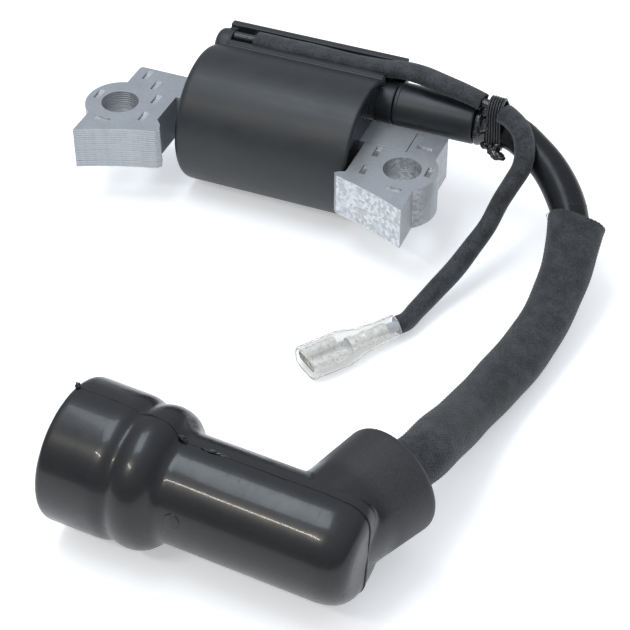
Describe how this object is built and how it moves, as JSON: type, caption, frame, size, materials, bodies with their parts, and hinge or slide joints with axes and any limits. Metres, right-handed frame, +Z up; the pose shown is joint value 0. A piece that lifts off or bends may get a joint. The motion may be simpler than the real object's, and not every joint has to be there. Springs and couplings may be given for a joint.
{
  "type": "ignition coil",
  "caption": "Small-engine magneto ignition coil: laminated two-foot core, moulded coil, sleeved high-tension lead with elbow plug boot, and a kill lead with covered spade receptacle.",
  "frame": {"origin": "on the surface the coil lies on, under the middle of the coil unit's box (core, coil case and tower; the leads, boot and terminal are left out)", "axes": "+X along the coil towards the high-tension tower, +Z up, square to the laminations; the two pole feet point to -Y"},
  "size_m": [0.1066, 0.1218, 0.0289],
  "materials": {
    "core": "punched silicon-steel laminations, dull silver",
    "case": "moulded black thermoplastic, satin",
    "tower": "black moulded tower",
    "bobbin": "black glass-filled nylon",
    "resin": "black potting resin",
    "copper": "enamelled copper wire",
    "enamel": "fine enamelled copper wire",
    "board": "glass-epoxy laminate",
    "component": "moulded electronic component",
    "brass": "brass",
    "lead": "black silicone insulation",
    "weave": "black woven glass sleeving",
    "boot": "glossy black rubber",
    "tin": "tinned brass, bright",
    "clear": "clear soft vinyl",
    "glue": "black adhesive, glossy",
    "clip": "spring steel"
  },
  "bodies": {
    "coil_unit": {"core_main_stack": "core", "core_right_leg_stack": "core", "coil_case": "case", "potting_resin": "resin", "primary_bobbin": "bobbin", "primary_winding": "copper", "secondary_bobbin": "bobbin", "secondary_winding_1": "enamel", "secondary_winding_2": "enamel", "secondary_winding_3": "enamel", "secondary_winding_4": "enamel", "secondary_winding_5": "enamel", "secondary_winding_6": "enamel", "trigger_board": "board", "power_transistor": "component", "trigger_resistor": "component", "bias_resistor": "component", "suppression_diode": "component", "kill_lead_pad": "brass", "ground_tab": "brass", "ht_output_pin": "brass", "ht_tower": "tower", "lead_sealant": "glue", "ht_lead": "lead", "ht_lead_sleeve": "weave", "kill_wire": "lead", "kill_sleeve_upper": "weave", "kill_sleeve_lower": "weave", "lead_tie": "glue", "tie_tail": "glue", "spade_receptacle": "tin"},
    "plug_boot": {"boot_shell": "boot", "plug_clip": "clip", "lead_spike": "brass"},
    "spade_cover": {"terminal_cover": "clear"}
  },
  "joints": [
    {"name": "boot_turn", "type": "hinge", "parent": "coil_unit", "child": "plug_boot", "pos_m": [0.047, -0.0938, 0.0125], "axis": [0.3843, 0.9232, 0], "range_deg": [-180, 180]},
    {"name": "cover_slide", "type": "slide", "parent": "coil_unit", "child": "spade_cover", "axis": [0.5878, 0.809, 0], "range_m": [0, 0.0024]}
  ]
}
